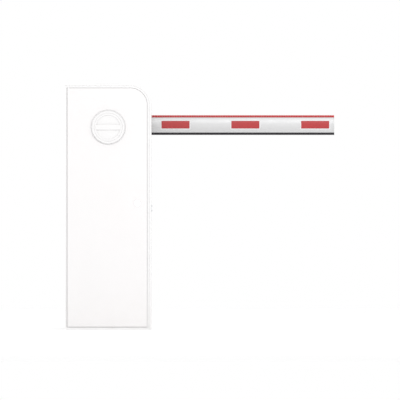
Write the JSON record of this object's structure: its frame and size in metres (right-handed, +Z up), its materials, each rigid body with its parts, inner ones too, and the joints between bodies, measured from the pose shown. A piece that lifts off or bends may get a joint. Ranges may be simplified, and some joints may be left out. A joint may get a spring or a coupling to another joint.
{
  "type": "parking barrier gate",
  "caption": "Upright cabinet with a rounded upper corner, hinged door, round shaft cap and a lifting boom with a light strip, red reflectors and a rubber lower edge.",
  "frame": {"origin": "centre of the four anchor holes, at the underside of the base plate, on the floor", "axes": "+X along the lowered boom, +Y from the door to the rear, +Z up"},
  "size_m": [1.105, 0.392, 1.0068],
  "materials": {
    "enamel": "fine satin powder coat, warm white",
    "frame_grey": "satin powder coat, light grey",
    "cap_grey": "satin moulded plastic",
    "holder_paint": "satin powder coat, light grey",
    "zinc": "zinc plated",
    "steel": "ground, bright",
    "chrome": "satin chrome",
    "bolt_zinc": "zinc plated fasteners",
    "cast_grey": "grey-blue machine enamel on castings and beams",
    "bronze": "machined bronze, greased",
    "spring_black": "black phosphated spring wire",
    "rubber_black": "matt black rubber",
    "plastic_black": "black moulded plastic, fine texture",
    "plastic_grey": "light grey moulded plastic",
    "plastic_dark": "dark grey moulded plastic",
    "terminal_grey": "blue-grey polyamide",
    "boom_coat": "white silver coated extrusion",
    "led_red": "translucent red diffuser with a bead pattern",
    "reflector_red": "red reflective foil",
    "border_white": "white reflective foil"
  },
  "bodies": {
    "cabinet": {"base_plate": "zinc", "corner_posts": "zinc", "casing_shell": "enamel", "front_frame": "frame_grey", "rear_panel": "enamel", "casing_screws": "bolt_zinc", "roof_plate": "frame_grey", "door_pivot_pins": "steel", "strike_plate": "zinc", "bearing_beam": "cast_grey", "bearing_housings": "cast_grey", "bearing_inserts": "steel", "mount_plate": "zinc", "frame_bolts": "bolt_zinc", "stop_posts": "zinc", "stop_buffers": "rubber_black", "gearbox_housing": "cast_grey", "gearbox_cover": "cast_grey", "gearbox_bolts": "bolt_zinc", "gear_bearings": "steel", "motor_housing": "cast_grey", "motor_end_bell": "plastic_black", "spring_beam": "cast_grey", "spring_anchor": "zinc", "control_box": "plastic_grey", "control_box_lid": "plastic_dark", "din_rail": "zinc", "circuit_breaker": "plastic_grey", "terminal_blocks": "terminal_grey", "motor_cable": "rubber_black", "cable_glands": "plastic_black"},
    "boom": {"main_shaft": "steel", "hub_cap": "cap_grey", "hub_flange": "frame_grey", "drive_lever": "cast_grey", "spring_lever": "cast_grey", "boom_flange": "cast_grey", "boom_holder": "holder_paint", "boom_clamp": "holder_paint", "holder_bolts": "bolt_zinc", "boom_tube": "boom_coat", "boom_end_caps": "boom_coat", "led_strip": "led_red", "boom_bumper": "rubber_black", "reflector_borders": "border_white", "reflectors_red": "reflector_red"},
    "crank": {"output_shaft": "steel", "drive_crank": "cast_grey", "worm_wheel": "bronze"},
    "link": {"link_tube": "zinc", "link_rod_ends": "steel"},
    "worm": {"worm_shaft": "steel", "handwheel": "plastic_black"},
    "spring": {"balance_spring": "spring_black"},
    "door": {"door_panel": "enamel", "door_gasket": "rubber_black", "lock_body": "chrome"},
    "lock": {"lock_plug": "chrome", "lock_cam": "zinc"},
    "toggle": {"breaker_toggle": "plastic_black"}
  },
  "joints": [
    {"name": "boom_lift", "type": "hinge", "parent": "cabinet", "child": "boom", "pos_m": [0, 0, 0.828], "axis": [0, -1, 0], "range_deg": [0, 90]},
    {"name": "crank_turn", "type": "hinge", "parent": "cabinet", "child": "crank", "pos_m": [0, 0, 0.558], "axis": [0, -1, 0], "range_deg": [0, 90]},
    {"name": "link_swing", "type": "hinge", "parent": "crank", "child": "link", "pos_m": [0.0495, -0.013, 0.5085], "axis": [0, -1, 0], "range_deg": [-90, 0]},
    {"name": "worm_turn", "type": "hinge", "parent": "cabinet", "child": "worm", "pos_m": [-0.058, 0.059, 0.558], "axis": [0, 0, 1], "range_deg": [0, 2700]},
    {"name": "spring_swing", "type": "hinge", "parent": "cabinet", "child": "spring", "pos_m": [-0.025, -0.062, 0.392], "axis": [0, -1, 0], "range_deg": [-6.99, 0], "deforming": ["balance_spring"]},
    {"name": "door_swing", "type": "hinge", "parent": "cabinet", "child": "door", "pos_m": [-0.1639, -0.1415, 0.5], "axis": [0, 0, -1], "range_deg": [0, 110]},
    {"name": "lock_turn", "type": "hinge", "parent": "door", "child": "lock", "pos_m": [0.119, -0.138, 0.517], "axis": [0, 1, 0], "range_deg": [0, 90]},
    {"name": "breaker_toggle_turn", "type": "hinge", "parent": "cabinet", "child": "toggle", "pos_m": [-0.102, 0.04, 0.3175], "axis": [-1, 0, 0], "range_deg": [0, 70]}
  ],
  "couplings": [
    {"joint": "crank_turn", "follows": "boom_lift", "ratio": 1},
    {"joint": "link_swing", "follows": "boom_lift", "ratio": -1},
    {"joint": "worm_turn", "follows": "boom_lift", "ratio": 30},
    {"joint": "spring_swing", "follows": "boom_lift", "ratio": -0.077638}
  ]
}
